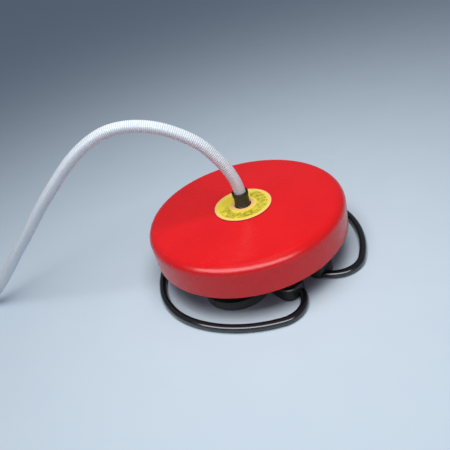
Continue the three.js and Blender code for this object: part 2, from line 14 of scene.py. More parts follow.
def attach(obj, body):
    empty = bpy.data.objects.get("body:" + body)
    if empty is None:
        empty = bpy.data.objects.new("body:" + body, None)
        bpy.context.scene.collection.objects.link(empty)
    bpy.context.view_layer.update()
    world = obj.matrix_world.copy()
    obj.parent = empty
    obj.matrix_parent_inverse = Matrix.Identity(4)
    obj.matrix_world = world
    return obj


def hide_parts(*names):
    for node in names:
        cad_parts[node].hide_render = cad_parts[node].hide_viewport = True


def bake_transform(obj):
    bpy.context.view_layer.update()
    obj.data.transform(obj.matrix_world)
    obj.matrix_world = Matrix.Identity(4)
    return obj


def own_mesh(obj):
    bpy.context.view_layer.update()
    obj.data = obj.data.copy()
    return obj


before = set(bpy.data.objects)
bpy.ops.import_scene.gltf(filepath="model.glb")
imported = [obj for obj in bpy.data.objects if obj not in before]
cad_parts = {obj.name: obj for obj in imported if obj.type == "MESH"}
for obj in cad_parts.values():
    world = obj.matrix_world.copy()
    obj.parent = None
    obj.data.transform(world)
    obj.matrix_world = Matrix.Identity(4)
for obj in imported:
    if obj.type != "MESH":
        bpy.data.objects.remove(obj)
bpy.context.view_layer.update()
MM = 0.001

# ---- Camera ----------------------------------------------------------------------------

CAMERA_AT = (-0.3172, -0.4885, 0.4304)
CAMERA_TARGET = (-0.0257, 0.0173, 0.060)
CAMERA_ROLL = math.radians(-15.9)
LENS = 40


def add_camera():
    camera = bpy.data.objects.new("camera", bpy.data.cameras.new("camera"))
    camera.data.lens = LENS
    camera.data.sensor_width = 36
    facing = (Vector(CAMERA_TARGET) - Vector(CAMERA_AT)).to_track_quat("-Z", "Y")
    turned = facing.to_matrix().to_4x4() @ Matrix.Rotation(CAMERA_ROLL, 4, "Z")
    camera.matrix_world = Matrix.Translation(CAMERA_AT) @ turned
    bpy.context.scene.collection.objects.link(camera)
    bpy.context.scene.camera = camera


add_camera()

# ---- Mesh helpers ----------------------------------------------------------------------


def around(radius, angle):
    """A flat point at that radius and angle."""
    return Vector((radius * math.cos(angle), radius * math.sin(angle)))


def heading(angle):
    """The level direction at that angle from +X."""
    return Vector((math.cos(angle), math.sin(angle), 0))


def piece(name, vertices, faces, material, sharp=40):
    """A mesh object from points in millimetres, shaded smooth up to that angle."""
    mesh = bpy.data.meshes.new(name)
    mesh.from_pydata([Vector(v) * MM for v in vertices], [], faces)
    mesh.validate()
    mesh.shade_smooth()
    mesh.set_sharp_from_angle(angle=math.radians(sharp))
    mesh.materials.append(material)
    made = bpy.data.objects.new(name, mesh)
    bpy.context.scene.collection.objects.link(made)
    return made


def settle(made, body, slot, *nodes):
    """Puts a piece on its body, in place of its CAD nodes. The slot is not used."""
    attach(made, body)
    if nodes:
        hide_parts(*nodes)
    return made


def rounded(profile, radius, steps=4):
    """A closed [radius, z] outline again, with every corner rounded."""
    outline = []
    for i, corner in enumerate(profile):
        before, after = profile[i - 1], profile[(i + 1) % len(profile)]
        corner = Vector(corner)
        back, on = Vector(before) - corner, Vector(after) - corner
        reach = min(radius, back.length * 0.48, on.length * 0.48)
        start = corner + back.normalized() * reach
        end = corner + on.normalized() * reach
        for step in range(steps + 1):
            t = step / steps
            outline.append(start.lerp(corner, t).lerp(corner.lerp(end, t), t))
    return outline


def turned_mesh(outline, segments, centre=(0, 0)):
    """Points and faces of an outline turned about Z. Points on the axis become one."""
    vertices, rings, faces = [], [], []
    for radius, z in outline:
        count = 1 if radius < 1e-6 else segments
        rings.append([len(vertices) + i % count for i in range(segments)])
        for i in range(count):
            x, y = around(radius, 2 * math.pi * i / segments)
            vertices.append((x + centre[0], y + centre[1], z))
    onto_axis = outline[0][0] < 1e-6 and outline[-1][0] < 1e-6
    pairs = list(zip(rings, rings[1:]))
    if not onto_axis:
        pairs.append((rings[-1], rings[0]))
    for low, high in pairs:
        for i in range(segments):
            j = (i + 1) % segments
            corners = dict.fromkeys((low[i], low[j], high[j], high[i]))
            faces.append(tuple(corners))
    return vertices, faces


def turned(name, profile, material, radius, segments, centre=(0, 0)):
    """A turned piece with its corners rounded to a radius. The profile goes up the outside."""
    vertices, faces = turned_mesh(rounded(profile, radius), segments, centre)
    return piece(name, vertices, faces, material)


def tube_mesh(path, radii, sides):
    """Points and faces of a round tube along a path, capped at both ends."""
    vertices, faces = [], []
    tangents = []
    for i in range(len(path)):
        tangents.append((path[min(i + 1, len(path) - 1)] - path[max(i - 1, 0)]).normalized())
    normal = tangents[0].orthogonal().normalized()
    for i, (centre, tangent) in enumerate(zip(path, tangents)):
        normal = (normal - tangent * normal.dot(tangent)).normalized()
        across = tangent.cross(normal)
        for k in range(sides):
            x, y = around(radii[i], 2 * math.pi * k / sides)
            vertices.append(centre + normal * x + across * y)
    for i in range(len(path) - 1):
        for k in range(sides):
            a, b = i * sides + k, i * sides + (k + 1) % sides
            faces.append((a, b, b + sides, a + sides))
    faces.append(tuple(reversed(range(sides))))
    last = (len(path) - 1) * sides
    faces.append(tuple(range(last, last + sides)))
    return vertices, faces


def smooth_line(points, per_span):
    """A Catmull-Rom curve through the points, with that many steps from each to the next."""
    ends = [2 * points[0] - points[1], *points, 2 * points[-1] - points[-2]]
    line = []
    for a, b, c, d in zip(ends, ends[1:], ends[2:], ends[3:]):
        ta = 0.0
        tb = ta + math.sqrt((b - a).length)
        tc = tb + math.sqrt((c - b).length)
        td = tc + math.sqrt((d - c).length)
        for step in range(per_span):
            t = tb + (tc - tb) * step / per_span
            ab = a.lerp(b, (t - ta) / (tb - ta))
            bc = b.lerp(c, (t - tb) / (tc - tb))
            cd = c.lerp(d, (t - tc) / (td - tc))
            first = ab.lerp(bc, (t - ta) / (tc - ta))
            second = bc.lerp(cd, (t - tb) / (td - tb))
            line.append(first.lerp(second, (t - tb) / (tc - tb)))
    return [*line, points[-1]]


def spaced(line, step):
    """The line again, with its points the same distance apart, close to step."""
    lengths = [0.0]
    for a, b in zip(line, line[1:]):
        lengths.append(lengths[-1] + (b - a).length)
    count = round(lengths[-1] / step)
    again, i = [], 0
    for k in range(count + 1):
        want = lengths[-1] * k / count
        while i < len(line) - 2 and lengths[i + 1] < want:
            i += 1
        share = (want - lengths[i]) / (lengths[i + 1] - lengths[i])
        again.append(line[i].lerp(line[i + 1], min(share, 1)))
    return again


# ---- Materials -------------------------------------------------------------------------


class Look:
    """A Principled material and short ways to add nodes to it."""

    def __init__(self, name, color, roughness, **sockets):
        self.material = bpy.data.materials.new(name)
        self.material.use_nodes = True
        self.tree = self.material.node_tree
        self.shader = self.tree.nodes["Principled BSDF"]
        self.shader.inputs["Base Color"].default_value = (*color, 1)
        self.shader.inputs["Roughness"].default_value = roughness
        for socket, value in sockets.items():
            self.shader.inputs[socket.replace("_", " ")].default_value = value
        self.place = self.node("ShaderNodeTexCoord").outputs["Object"]

    def node(self, kind, inputs=None, **settings):
        """A new node. Each input is a value or another node's output."""
        made = self.tree.nodes.new(kind)
        for key, value in settings.items():
            setattr(made, key, value)
        for key, value in (inputs or {}).items():
            if isinstance(value, bpy.types.NodeSocket):
                self.tree.links.new(value, made.inputs[key])
            else:
                made.inputs[key].default_value = value
        return made

    def noise(self, scale, detail):
        inputs = {"Vector": self.place, "Scale": scale, "Detail": detail}
        return self.node("ShaderNodeTexNoise", inputs).outputs["Fac"]

    def math(self, operation, a, b=0.0):
        return self.node("ShaderNodeMath", {0: a, 1: b}, operation=operation).outputs[0]

    def ramp(self, value, low, high, start=0.0, end=1.0):
        """Goes smoothly from start to end while the value goes from low to high."""
        inputs = {"Value": value, "From Min": low, "From Max": high, "To Min": start, "To Max": end}
        made = self.node("ShaderNodeMapRange", inputs, interpolation_type="SMOOTHSTEP")
        return made.outputs["Result"]

    def mix(self, share, a, b):
        """Colour a to colour b by share. A colour is three numbers or an output.

        A Mix node's colours are its inputs 6 and 7, and its output 2.
        """
        made = self.node("ShaderNodeMix", {0: share}, data_type="RGBA")
        for index, color in ((6, a), (7, b)):
            if isinstance(color, bpy.types.NodeSocket):
                self.tree.links.new(color, made.inputs[index])
            else:
                made.inputs[index].default_value = (*color, 1)
        return made.outputs[2]

    def color(self, output):
        self.tree.links.new(output, self.shader.inputs["Base Color"])

    def rough(self, output):
        self.tree.links.new(output, self.shader.inputs["Roughness"])

    def bump(self, height, distance):
        inputs = {"Height": height, "Strength": 1.0, "Distance": distance}
        made = self.node("ShaderNodeBump", inputs)
        self.tree.links.new(made.outputs["Normal"], self.shader.inputs["Normal"])


def plain_look(name, color, shade, rough, grain, **sockets):
    """A surface whose colour drifts to shade, with uneven roughness and a fine grain.

    rough is (lowest, highest) roughness, and grain is (noise scale, bump depth in metres).
    """
    look = Look(name, color, sum(rough) / 2, **sockets)
    drift = look.ramp(look.noise(14, 5), 0.35, 0.7)
    look.color(look.mix(drift, color, shade))
    look.rough(look.ramp(look.noise(40, 6), 0.3, 0.7, *rough))
    look.bump(look.noise(grain[0], 3), grain[1])
    return look.material


# The label's colours, and the radii in metres between which one gives way to the next.
LABEL_YELLOW = (0.95, 0.80, 0.06)
LABEL_DEEP_YELLOW = (0.86, 0.68, 0.05)
LABEL_OLIVE = (0.52, 0.45, 0.04)
LABEL_INK = (0.30, 0.26, 0.015)
LABEL_RIM = (0.98, 0.60, 0.22)
# Painted shade: a dark ring round the label's outer edge.
LABEL_EDGE_SHADE = (0.16, 0.03, 0.01)
HUB_RIM_ENDS = (0.0178, 0.0160)
BAND_STARTS = (0.0182, 0.0202)
BAND_ENDS = (0.0352, 0.0330)
OUTER_RIM_STARTS = (0.0350, 0.0364)
EDGE_SHADE_STARTS = (0.0389, 0.0393)
INK_R = 0.0266
INK_REACH = (0.0072, 0.0048)  # the marks fade in between these distances from it
BAND_REAR = (-0.020, -0.006)  # the band fades in between these distances in front of the middle


def label_look():
    """A printed round label: pale rims, a yellow field and an olive band round its front, with
    painted shade round its outer edge.
    """
    look = Look("label_print", (0.90, 0.72, 0.06), 0.38)
    parts = look.node("ShaderNodeSeparateXYZ", {0: look.place})
    x, y = parts.outputs["X"], parts.outputs["Y"]
    flat = look.node("ShaderNodeCombineXYZ", {"X": x, "Y": y})
    length = look.node("ShaderNodeVectorMath", {0: flat.outputs[0]}, operation="LENGTH")
    radius = length.outputs["Value"]
    uneven = look.ramp(look.noise(60, 5), 0.3, 0.7)
    field = look.mix(uneven, LABEL_YELLOW, LABEL_DEEP_YELLOW)
    # The band covers the front and both sides, and fades out towards the rear.
    open_rear = look.ramp(look.math("MULTIPLY", y, -1.0), *BAND_REAR)
    ring = look.math("MULTIPLY", look.ramp(radius, *BAND_STARTS), look.ramp(radius, *BAND_ENDS))
    band = look.math("MULTIPLY", ring, open_rear)
    olive = look.math("MULTIPLY", look.ramp(look.noise(150, 2), 0.62, 0.42, 0.25, 0.9), band)
    # Soft irregular marks in the band, where the real one is printed.
    from_middle = look.math("ABSOLUTE", look.math("SUBTRACT", radius, INK_R))
    marks = look.ramp(look.noise(230, 2), 0.50, 0.60, 0.0, 0.8)
    marked = look.math("MULTIPLY", look.ramp(from_middle, *INK_REACH), marks)
    colored = look.mix(olive, field, LABEL_OLIVE)
    colored = look.mix(look.math("MULTIPLY", marked, band), colored, LABEL_INK)
    colored = look.mix(look.ramp(radius, *OUTER_RIM_STARTS), colored, LABEL_RIM)
    colored = look.mix(look.ramp(radius, *HUB_RIM_ENDS), colored, LABEL_RIM)
    # Painted shade: the outermost ring of the label goes dark.
    colored = look.mix(look.ramp(radius, *EDGE_SHADE_STARTS), colored, LABEL_EDGE_SHADE)
    look.color(colored)
    look.rough(look.ramp(look.noise(300, 3), 0.3, 0.7, 0.30, 0.44))
    look.bump(look.noise(900, 2), 0.00002)
    return look.material


def hose_look():
    """Pale grey plastic, with painted shade darkening the grooves between the ribs."""
    look = Look("hose_plastic", (0.72, 0.78, 0.84), 0.4, Subsurface_Weight=0.12)
    look.shader.inputs["Subsurface Radius"].default_value = (0.004, 0.004, 0.005)
    crest = look.node("ShaderNodeAttribute", attribute_name="crest").outputs["Fac"]
    # Painted shade: the grooves between the ribs are coloured darker than the crests.
    groove = look.mix(look.ramp(crest, 0.0, 0.9), (0.50, 0.57, 0.65), (0.76, 0.81, 0.86))
    stain = look.ramp(look.noise(30, 5), 0.45, 0.75, 0.0, 0.2)
    look.color(look.mix(stain, groove, (0.58, 0.63, 0.68)))
    look.rough(look.ramp(look.noise(120, 4), 0.3, 0.7, 0.34, 0.5))
    look.bump(look.noise(700, 3), 0.00003)
    return look.material


def wire_look():
    """Zinc-plated steel, faintly drawn and clouded."""
    look = Look("zinc_plate", (0.50, 0.50, 0.49), 0.35, Metallic=1.0)
    cloud = look.ramp(look.noise(90, 5), 0.3, 0.7)
    look.color(look.mix(cloud, (0.42, 0.42, 0.41), (0.60, 0.60, 0.58)))
    look.rough(look.ramp(look.noise(260, 5), 0.3, 0.7, 0.25, 0.48))
    look.bump(look.noise(1500, 2), 0.00001)
    return look.material


RED_PLASTIC = plain_look(
    "red_plastic", (0.78, 0.009, 0.011), (0.73, 0.007, 0.010),
    rough=(0.24, 0.30), grain=(420, 0.000008), IOR=1.4, Coat_Weight=0.15, Coat_Roughness=0.10,
)
BLACK_PLASTIC = plain_look(
    "black_plastic", (0.011, 0.011, 0.012), (0.020, 0.019, 0.018),
    rough=(0.34, 0.52), grain=(900, 0.00004),
)
BLACK_PAINT = plain_look(
    "black_paint", (0.006, 0.006, 0.008), (0.010, 0.010, 0.011),
    rough=(0.12, 0.24), grain=(260, 0.00002), Coat_Weight=0.6, Coat_Roughness=0.08,
)
BLACK_RUBBER = plain_look(
    "black_rubber", (0.012, 0.012, 0.012), (0.028, 0.026, 0.024),
    rough=(0.55, 0.78), grain=(1300, 0.00006),
)
BLACK_WEBBING = plain_look(
    "black_webbing", (0.014, 0.014, 0.015), (0.026, 0.026, 0.027),
    rough=(0.7, 0.9), grain=(1800, 0.00015),
)
LABEL_PRINT = label_look()
HOSE_PLASTIC = hose_look()
ZINC_PLATE = wire_look()

# ---- Hose ------------------------------------------------------------------------------

HOSE_R = 8.0
HOSE_SIDES = 20
HOSE_HEADING = math.radians(142)
HOSE_FLOOR_Z = HOSE_R + 0.5
RIB_PITCH = 2.5
RIB_DEPTH = 0.42
RIB_SHAPE = (0.0, 0.72, 1.0, 0.72)  # heights along one rib, from a groove to the next
COIL_TURNS = 1.2
COIL_POINTS = 26
COIL_OUT_R = 104.0
COIL_PITCH = 2 * HOSE_R + 0.4
COIL_TANGENT_AT = 497.0
TAIL_BEND_R = 64.0
TAIL_TO = math.radians(105)
TAIL_POINTS = 8
CURVE_STEPS = 12
NOZZLE_GAP = 0.3
NOZZLE_GRIP_RINGS = 4
TIE_AT = math.radians(30)
TIE_HALF_WIDTH = 7.0
TIE_THICK = 0.35
TIE_GAP = 0.08
TIE_BEND_STEPS = 14

# [distance from the axis, height] along the upright plane that the hose lies in.
HOSE_ROUTE = [
    [0, 92.3], [0, 106], [2, 121], [9, 142.5], [19, 162], [34, 184], [56, 203], [81.5, 218],
    [112, 227], [143, 227], [172.5, 217], [202, 199.5], [235, 173], [269, 143], [303.5, 109.5],
    [337, 78], [366, 49.5], [388, 30], [408, 17], [424, 10.6], [436, 8.8], [458, 8.5],
    [478, 8.5], [497, 8.5],
]

COIL_START = HOSE_HEADING - math.pi / 2
COIL_END = COIL_START + 2 * math.pi * COIL_TURNS
COIL_END_R = COIL_OUT_R - COIL_PITCH * COIL_TURNS
COIL_CENTRE = heading(HOSE_HEADING) * COIL_TANGENT_AT - heading(COIL_START) * COIL_OUT_R
COIL_CENTRE.z = HOSE_FLOOR_Z
TAIL_CENTRE = COIL_CENTRE + heading(COIL_END) * (COIL_END_R - TAIL_BEND_R)
NOZZLE_HEADING = COIL_END + TAIL_TO + math.pi / 2


def hose_points():
    """The whole hose's route: the arch, the coil and the bend to the nozzle."""
    points = [heading(HOSE_HEADING) * away + Vector((0, 0, z)) for away, z in HOSE_ROUTE]
    for i in range(1, COIL_POINTS + 1):
        share = i / COIL_POINTS
        radius = COIL_OUT_R - COIL_PITCH * COIL_TURNS * share
        points.append(COIL_CENTRE + heading(COIL_START + (COIL_END - COIL_START) * share) * radius)
    for i in range(1, TAIL_POINTS + 1):
        angle = COIL_END + TAIL_TO * i / TAIL_POINTS
        points.append(TAIL_CENTRE + heading(angle) * TAIL_BEND_R)
    return points


def add_nozzle():
    """The tapered nozzle on the hose's far end, with grooves round its grip."""
    profile = [[5.9, 0], [8.0, 0], [8.4, 0.8]]
    for ring in range(NOZZLE_GRIP_RINGS):
        z = 2 + 3 * ring
        profile += [[8.4, z], [7.9, z + 0.5], [7.9, z + 1.3], [8.4, z + 1.8]]
    profile += [[8.4, 15], [7.4, 17], [6.6, 19], [6.1, 24], [6.5, 24.6], [5.9, 25.4], [5.4, 31]]
    profile += [[5.8, 31.6], [5.2, 32.4], [4.6, 43], [4.1, 44]]
    profile += [[2.8, 44], [2.6, 43], [2.6, 18], [5.9, 16]]
    made = turned("nozzle", profile, BLACK_PLASTIC, radius=0.35, segments=64)
    along = heading(NOZZLE_HEADING)
    at = TAIL_CENTRE + heading(COIL_END + TAIL_TO) * TAIL_BEND_R + along * NOZZLE_GAP
    pointed = along.to_track_quat("Z", "Y").to_matrix().to_4x4()
    made.matrix_world = Matrix.Translation(at * MM) @ pointed
    return settle(made, "base", "black_plastic", "hose_nozzle")


def add_tie():
    """A strap round the two turns of hose that lie side by side."""
    angle = COIL_START + TIE_AT
    outer = COIL_OUT_R - COIL_PITCH * (angle - COIL_START) / (2 * math.pi)
    inner = outer - COIL_PITCH
    outline = []
    for centre, start in ((outer, -math.pi / 2), (inner, math.pi / 2)):
        for i in range(TIE_BEND_STEPS + 1):
            outline.append((centre, start + math.pi * i / TIE_BEND_STEPS))
    along = heading(angle + math.pi / 2)
    vertices, faces = [], []
    for side, thick in ((-1, 0.0), (1, 0.0), (1, TIE_THICK), (-1, TIE_THICK)):
        for centre, turn in outline:
            out, up = around(HOSE_R + TIE_GAP + thick, turn)
            place = COIL_CENTRE + heading(angle) * (centre + out) + Vector((0, 0, up))
            vertices.append(place + along * TIE_HALF_WIDTH * side)
    count = len(outline)
    for ring in range(4):
        following = (ring + 1) % 4
        for i in range(count):
            j = (i + 1) % count
            a, b = ring * count + i, ring * count + j
            c, d = following * count + j, following * count + i
            faces.append((a, b, c, d))
    made = piece("hose_tie", vertices, faces, BLACK_WEBBING)
    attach(made, "base")
    return made


def add_hose():
    """The ribbed hose, in place of the CAD hose, with its nozzle and tie."""
    line = spaced(smooth_line(hose_points(), CURVE_STEPS), RIB_PITCH / len(RIB_SHAPE))
    crests = [RIB_SHAPE[i % len(RIB_SHAPE)] for i in range(len(line))]
    radii = [HOSE_R - RIB_DEPTH * (1 - crest) for crest in crests]
    vertices, faces = tube_mesh(line, radii, HOSE_SIDES)
    hose = piece("hose", vertices, faces, HOSE_PLASTIC, sharp=80)
    attribute = hose.data.attributes.new("crest", "FLOAT", "POINT")
    attribute.data.foreach_set("value", [crest for crest in crests for _ in range(HOSE_SIDES)])
    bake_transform(hose)
    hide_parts("hose_tube", "hose_coil", "hose_tail")
    add_nozzle()
    add_tie()


add_hose()

# ---- Cover, label and connector --------------------------------------------------------

COVER_R = 135.0
COVER_SHOULDER_Z = 84.4
COVER_DOME = 0.5
COVER_TOP_Z = COVER_SHOULDER_Z + COVER_DOME
COVER_FILLET = 13.0
COVER_WALL = 3.5
COVER_RIM_Z = 38.5
CEILING_Z = 79.0
EDGE_R = COVER_R - COVER_FILLET  # the middle of the rounded edge
EDGE_Z = COVER_SHOULDER_Z - COVER_FILLET
COVER_HOLE_R = 9.4
RIB_COUNT = 24
RIB_HALF_THICK = 0.9
RIB_IN_R = 90.5
RIB_OUT_R = COVER_R - COVER_WALL + 0.5
LABEL_R = 39.7
LABEL_HOLE_R = 11.4


def cover_bend(radius, start, end, steps):
    """[radius, z] points round the cover's rounded edge, from one angle to another."""
    points = []
    for i in range(steps + 1):
        out, up = around(radius, start + (end - start) * i / steps)
        points.append([EDGE_R + out, EDGE_Z + up])
    return points


def cover_ribs(vertices, faces):
    """Adds the upright ribs that stiffen the cover inside its rounded edge."""
    outline = [[RIB_IN_R, CEILING_Z + 1], [RIB_IN_R, 75], [RIB_OUT_R - 6, 66], [RIB_OUT_R, 60]]
    outline += cover_bend(RIB_OUT_R - EDGE_R, 0, math.radians(50), steps=4)
    corners = len(outline)
    for i in range(RIB_COUNT):
        angle = 2 * math.pi * (i + 0.5) / RIB_COUNT
        along, across = heading(angle), heading(angle + math.pi / 2)
        first = len(vertices)
        for side in (-1, 1):
            for radius, z in outline:
                vertices.append(along * radius + across * RIB_HALF_THICK * side + Vector((0, 0, z)))
        faces.append(tuple(first + k for k in range(corners)))
        faces.append(tuple(first + corners + k for k in reversed(range(corners))))
        for k in range(corners):
            n = (k + 1) % corners
            faces.append((first + k, first + corners + k, first + corners + n, first + n))


def add_cover():
    """The cover: a shell with a ring under its ceiling that the bellows is screwed up to."""
    profile = [[131.0, COVER_RIM_Z + 0.9], [131.6, COVER_RIM_Z]]
    profile += [[133.8, COVER_RIM_Z], [134.5, COVER_RIM_Z + 0.8]]
    profile += cover_bend(COVER_FILLET, 0, math.pi / 2, steps=16)
    for share in (0.95, 0.9, 0.8, 0.7, 0.6, 0.5, 0.4, 0.3, 0.2):
        profile.append([EDGE_R * share, COVER_SHOULDER_Z + COVER_DOME * (1 - share**2)])
    profile += [[COVER_HOLE_R + 0.5, COVER_TOP_Z], [COVER_HOLE_R, COVER_TOP_Z - 0.4]]
    profile += [[COVER_HOLE_R, CEILING_Z], [66, CEILING_Z], [66, 74], [90, 74], [90, CEILING_Z]]
    inner_bend = COVER_FILLET - COVER_WALL
    profile += cover_bend(inner_bend, math.asin((CEILING_Z - EDGE_Z) / inner_bend), 0, steps=8)
    vertices, faces = turned_mesh([Vector(p) for p in profile], segments=192)
    cover_ribs(vertices, faces)
    made = piece("cover", vertices, faces, RED_PLASTIC, sharp=30)
    settle(made, "cover", "cover_plastic", "top_cover")


def add_label():
    """The label: a thin disc on the cover, round the connector."""
    under = COVER_TOP_Z + 0.1
    profile = [
        [LABEL_HOLE_R, under], [LABEL_R, under - 0.1], [LABEL_R, under + 0.6],
        [LABEL_R - 0.5, under + 0.85], [LABEL_HOLE_R + 0.2, under + 0.95],
    ]
    made = turned("label", profile, LABEL_PRINT, radius=0.15, segments=128)
    settle(made, "cover", "label", "label_disc")


def add_connector():
    """The hose connector: a flanged tube whose flared mouth holds the hose."""
    base = COVER_TOP_Z + 0.3
    profile = [
        [8.6, 62], [8.6, base], [11.1, base], [11.1, base + 1.4], [10.3, base + 1.9],
        [10.2, 97], [10.6, 100], [11.1, 101.2], [11.2, 105.4], [10.9, 106], [9.1, 106],
        [8.55, 105.2], [8.5, 92], [5, 92], [5, 80], [7.2, 80], [7.2, 62],
    ]
    made = turned("connector", profile, BLACK_PLASTIC, radius=0.4, segments=96)
    settle(made, "cover", "black_plastic", "hose_connector")


add_cover()
add_label()
add_connector()

# ---- Stand bar -------------------------------------------------------------------------

BAR_R = 5.0
BAR_REACH = 137.9
BAR_END_Y = -89.0
BAR_END_CHAMFER = 0.8
BAR_STEP = 2.5

# The radius of each arc, and how many degrees it turns.
BAR_ARCS = ((90.9, 20), (191.8, 41.4), (114.8, 48.2), (158.5, 40), (35.3, 120.4))


def bar_points():
    """The bar's centreline. One half is a chain of arcs that touch, from the middle of the
    rear round to a turned-in end, and the other half is its mirror image."""
    at, turned_to = Vector((0, BAR_REACH)), math.pi
    half = [at]
    for radius, degrees in BAR_ARCS:
        centre = at + radius * Vector((-math.sin(turned_to), math.cos(turned_to)))
        steps = math.ceil(degrees / 2)
        for i in range(1, steps + 1):
            angle = turned_to - math.pi / 2 + math.radians(degrees) * i / steps
            half.append(centre + around(radius, angle))
        at = half[-1]
        turned_to += math.radians(degrees)
    half.append(Vector((at.x, BAR_END_Y)))
    mirrored = [Vector((-p.x, p.y)) for p in reversed(half[1:])]
    return [Vector((*p, BAR_R)) for p in mirrored + half]


def add_bar():
    """The stand's bent bar, with its two ends chamfered."""
    line = spaced(bar_points(), BAR_STEP)
    radii = [BAR_R] * len(line)
    radii[0] = radii[-1] = BAR_R - BAR_END_CHAMFER
    vertices, faces = tube_mesh(line, radii, sides=32)
    settle(piece("bar", vertices, faces, BLACK_PAINT), "base", "bar_paint", "stand_bar")


add_bar()

# ---- Bellows and springs ---------------------------------------------------------------

BELLOWS_LOW_Z = 14.8
BELLOWS_HIGH_Z = 73.7
BELLOWS_SKIN = 1.8
BELLOWS_FOLDS = 4
BELLOWS_LIP_R = 77
BELLOWS_WALL_R = 87.3
BELLOWS_OUT_R = 91
BELLOWS_IN_R = 80
BELLOWS_BAND = 6.4  # the plain wall above and below the folds
BELLOWS_BEND_R = 2.4
BELLOWS_BEND_STEPS = 5
SPRING_END_TURNS = 0.6  # how much of a turn lies flat at each end
SPRING_STEPS = 32  # for each turn


def offset_line(line, thickness):
    """A closed outline round a folded line, half the thickness to each side."""
    sides = []
    for sign in (1, -1):
        side = []
        for i, point in enumerate(line):
            before = (point - line[max(i - 1, 0)]).normalized()
            after = (line[min(i + 1, len(line) - 1)] - point).normalized()
            if i == 0:
                before = after
            if i == len(line) - 1:
                after = before
            mitre = (before + after).normalized()
            reach = sign * thickness / 2 / max(mitre.dot(after), 0.5)
            side.append(point + Vector((-mitre.y, mitre.x)) * reach)
        sides.append(side)
    return sides[0] + sides[1][::-1]


def add_bellows():
    """The folded rubber skin, with a lip turned in at each end under the clamping rings."""
    half = BELLOWS_SKIN / 2
    low, high = BELLOWS_LOW_Z + half, BELLOWS_HIGH_Z - half
    folds_from, folds_to = low + BELLOWS_BAND, high - BELLOWS_BAND
    pitch = (folds_to - folds_from) / BELLOWS_FOLDS
    corners = [[BELLOWS_LIP_R, low], [BELLOWS_WALL_R, low], [BELLOWS_WALL_R, folds_from]]
    for i in range(BELLOWS_FOLDS):
        corners.append([BELLOWS_OUT_R - half, folds_from + pitch * (i + 0.5)])
        if i < BELLOWS_FOLDS - 1:
            corners.append([BELLOWS_IN_R + half, folds_from + pitch * (i + 1)])
    corners += [[BELLOWS_WALL_R, folds_to], [BELLOWS_WALL_R, high], [BELLOWS_LIP_R, high]]
    # The line is open, so its two ends are left as they are.
    ends = BELLOWS_BEND_STEPS + 1
    bends = rounded(corners, BELLOWS_BEND_R, BELLOWS_BEND_STEPS)[ends:-ends]
    line = [Vector(corners[0]), *bends, Vector(corners[-1])]
    vertices, faces = turned_mesh(offset_line(line, BELLOWS_SKIN), segments=160)
    made = piece("bellows_skin", vertices, faces, BLACK_RUBBER, sharp=50)
    settle(made, "base", "rubber", "bellows")
    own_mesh(made)


def add_spring(name, node, body, foot, head, turns, wire):
    """A spring with closed ends, from foot (radius, z) up to head."""
    steps = int(turns * SPRING_STEPS)
    line = []
    for i in range(steps + 1):
        turn = turns * i / steps
        rise = (turn - SPRING_END_TURNS) / (turns - 2 * SPRING_END_TURNS)
        radius, z = Vector(foot).lerp(Vector(head), min(max(rise, 0), 1))
        line.append(heading(2 * math.pi * turn) * radius + Vector((0, 0, z)))
    vertices, faces = tube_mesh(line, [wire] * len(line), sides=12)
    made = settle(piece(name, vertices, faces, ZINC_PLATE), body, "zinc_steel", node)
    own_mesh(made)


add_bellows()
add_spring(
    "main_spring", "return_spring", "base",
    foot=(50, 16.5), head=(36, 73.4), turns=5, wire=1.7,
)
add_spring(
    "valve_spring", "outlet_valve_spring", "cover",
    foot=(5.2, 67.75), head=(5.9, 79.25), turns=4, wire=0.45,
)

# ---- Feet and screws -------------------------------------------------------------------

SIDES = (("left", -1), ("right", 1))
FOOT_TOP_Z = 10.7
FOOT_RECESS_R = 5
FOOT_RECESS_Z = 7
FOOT_HOLE_R = 2.4
SIDE_FOOT_AT = (62, -36)
SIDE_FOOT_R = 45
SIDE_FOOT_GROOVES = (13, 19, 25, 31, 37)
REAR_ARM_ANGLE = math.radians(35)
REAR_FOOT_AT = 76
REAR_FOOT_R = 15
REAR_FOOT_GROOVES = (9,)
CLIP_SCREW_AT = 110
CLAMP_SCREW_AT = (33, -104.5)
RING_SCREW_AT = 71.5

# Head radius and height, shank radius and length.
FOOT_SCREW = (4, 2.6, 2, 7.4)
CLIP_SCREW = (4, 2.6, 2, 9.5)
CLAMP_SCREW = (4, 2.6, 2, 11.6)
RING_SCREW = (3.5, 2.4, 1.8, 8.5)
THREAD_PITCH = 0.8
THREAD_DEPTH = 0.25

# How high the flat side of each screw's head is.
FOOT_SCREW_Z = 6.7
CLIP_SCREW_Z = 6.8
CLAMP_SCREW_Z = 3.7
LOWER_RING_SCREW_Z = 20.2
UPPER_RING_SCREW_Z = 68.3


def on_arm(side, away):
    """A point on the base plate's rear arm on that side, that far from the axis."""
    return around(away, math.pi / 2 - side * REAR_ARM_ANGLE)


def add_foot(name, node, radius, grooves, centre):
    """A rubber foot with shallow ring grooves in its tread and a recess for its screw."""
    profile = [[FOOT_RECESS_R, FOOT_RECESS_Z], [FOOT_RECESS_R, 0.6], [FOOT_RECESS_R + 0.6, 0]]
    for groove in grooves:
        profile += [[groove - 1, 0], [groove - 0.8, 0.9], [groove + 0.8, 0.9], [groove + 1, 0]]
    profile += [[radius - 1.2, 0], [radius - 0.3, 1.2], [radius - 0.1, FOOT_TOP_Z - 1.4]]
    profile += [[radius, FOOT_TOP_Z], [FOOT_HOLE_R, FOOT_TOP_Z], [FOOT_HOLE_R, FOOT_RECESS_Z]]
    made = turned(name, profile, BLACK_RUBBER, radius=0.35, segments=72, centre=centre)
    settle(made, "base", "rubber", node)


